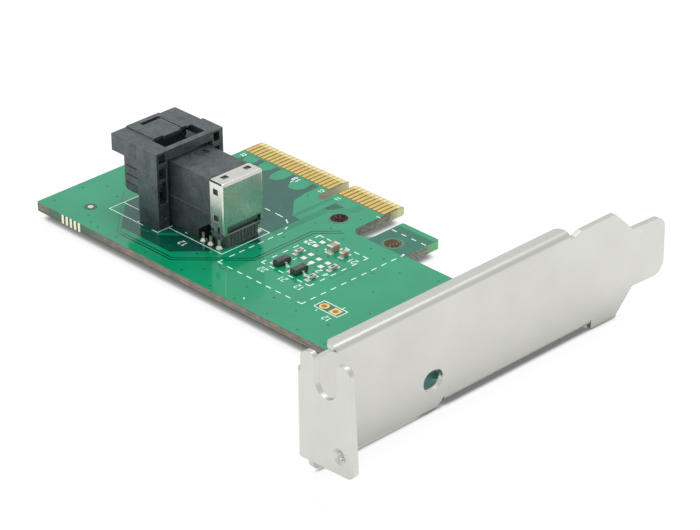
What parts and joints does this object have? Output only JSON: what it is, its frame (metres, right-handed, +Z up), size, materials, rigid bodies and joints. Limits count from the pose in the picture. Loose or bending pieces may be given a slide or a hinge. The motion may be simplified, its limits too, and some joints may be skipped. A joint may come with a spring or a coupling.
{
  "type": "nvme adapter card",
  "caption": "Low-profile expansion card that carries a cable receptacle for a drive link, with a folded bracket, a slotted screw tab and an edge connector.",
  "frame": {"origin": "middle of the key slot at the contact tips, level with the board's component side", "axes": "+X along the card towards its bracket, +Y out of the board edge that carries the contacts, +Z up from the component side"},
  "size_m": [0.1016, 0.0792, 0.0228],
  "materials": {
    "green_laminate": "glossy solder mask",
    "gold_plating": "flat gold plating",
    "plated_sheet": "satin nickel-plated sheet",
    "screw_steel": "plated",
    "dark_plastic": "fine matt",
    "housing_plastic": "fine matt",
    "wafer_plastic": "fine matt",
    "comb_plastic": "fine matt",
    "contact_metal": "plated strip",
    "clip_sheet": "bright tin-plated sheet",
    "solder": "satin tin",
    "tinned_leads": "satin tin",
    "package_plastic": "matt moulded",
    "capacitor_ceramic": "matt",
    "resistor_glaze": "glazed"
  },
  "bodies": {
    "root": {"bracket": "plated_sheet", "bracket_screws": "screw_steel", "capacitor_bodies": "capacitor_ceramic", "capacitor_end_caps": "tinned_leads", "circuit_board": "green_laminate", "contact_beams": "contact_metal", "contact_housing": "housing_plastic", "contact_tails": "contact_metal", "edge_contacts_component_side": "gold_plating", "edge_contacts_solder_side": "gold_plating", "edge_tie_bars": "gold_plating", "fiducial_pad": "gold_plating", "header_eyelets": "gold_plating", "hold_down_legs": "clip_sheet", "leg_solder": "solder", "organiser_comb": "comb_plastic", "receptacle_shroud": "dark_plastic", "resistor_bodies": "resistor_glaze", "resistor_end_caps": "tinned_leads", "shield_clip": "clip_sheet", "solder_pads": "solder", "terminal_wafers": "wafer_plastic", "transistor_bodies": "package_plastic", "transistor_leads": "tinned_leads"}
  },
  "joints": []
}
